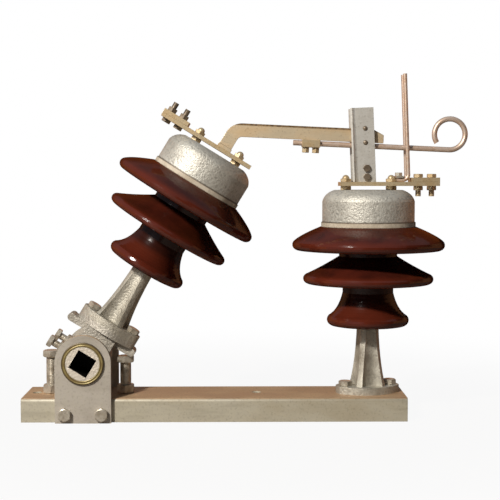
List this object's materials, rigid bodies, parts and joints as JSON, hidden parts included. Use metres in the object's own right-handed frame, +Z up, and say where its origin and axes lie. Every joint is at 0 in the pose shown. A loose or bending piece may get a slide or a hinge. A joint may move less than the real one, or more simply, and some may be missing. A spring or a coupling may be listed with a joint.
{
  "type": "tilting-insulator disconnect switch pole",
  "caption": "One pole of an outdoor disconnect switch: a tilting brown porcelain insulator swings a bent brass blade into a jaw on a fixed insulator, on a steel channel with arcing horns.",
  "frame": {"origin": "middle of the whole length and depth, on the level of the channel's feet", "axes": "+X along the channel from the tilting insulator to the fixed one, +Z up; the bearing axis lies along Y"},
  "size_m": [0.6622, 0.2278, 0.5123],
  "materials": {
    "galvanised_steel": "satin",
    "galvanised_casting": "matte",
    "zinc_bolts": "satin",
    "brown_porcelain": "gloss",
    "cement": "matte",
    "brass": "satin",
    "bush_metal": "satin",
    "copper_alloy_rod": "satin"
  },
  "bodies": {
    "base": {"base_channel": "galvanised_steel", "front_bearing_plate": "galvanised_steel", "back_bearing_plate": "galvanised_steel", "front_bearing_bush": "bush_metal", "back_bearing_bush": "bush_metal", "bearing_plate_bolts": "zinc_bolts", "closed_stop_bolt": "zinc_bolts", "open_stop_bolt": "zinc_bolts", "fixed_pedestal": "galvanised_casting", "fixed_pedestal_bolts": "zinc_bolts", "fixed_insulator": "brown_porcelain", "fixed_cement_ring": "cement", "fixed_cap": "galvanised_casting", "fixed_terminal_bar": "brass", "fixed_terminal_studs": "brass", "fixed_terminal_clamp": "brass", "fixed_clamp_bolts": "brass", "front_jaw_plate": "galvanised_steel", "back_jaw_plate": "galvanised_steel", "jaw_block": "brass", "jaw_bolts": "brass", "front_contact_strip": "brass", "back_contact_strip": "brass", "fixed_arcing_horns": "copper_alloy_rod", "horn_plate": "zinc_bolts"},
    "tilting_column": {"tilt_bracket": "galvanised_casting", "shaft_set_screws": "zinc_bolts", "moving_pedestal": "galvanised_casting", "moving_pedestal_bolts": "zinc_bolts", "moving_insulator": "brown_porcelain", "moving_cement_ring": "cement", "moving_cap": "galvanised_casting", "moving_terminal_bar": "brass", "moving_terminal_studs": "brass", "moving_terminal_clamp": "brass", "moving_clamp_bolts": "brass", "contact_blade": "brass", "rod_clamp": "brass", "rod_clamp_screws": "brass", "moving_arcing_rod": "copper_alloy_rod"}
  },
  "joints": [
    {"name": "tilt", "type": "hinge", "parent": "base", "child": "tilting_column", "pos_m": [-0.23913, 0, 0.088], "axis": [0, -1, 0], "range_deg": [0, 55.5]}
  ]
}
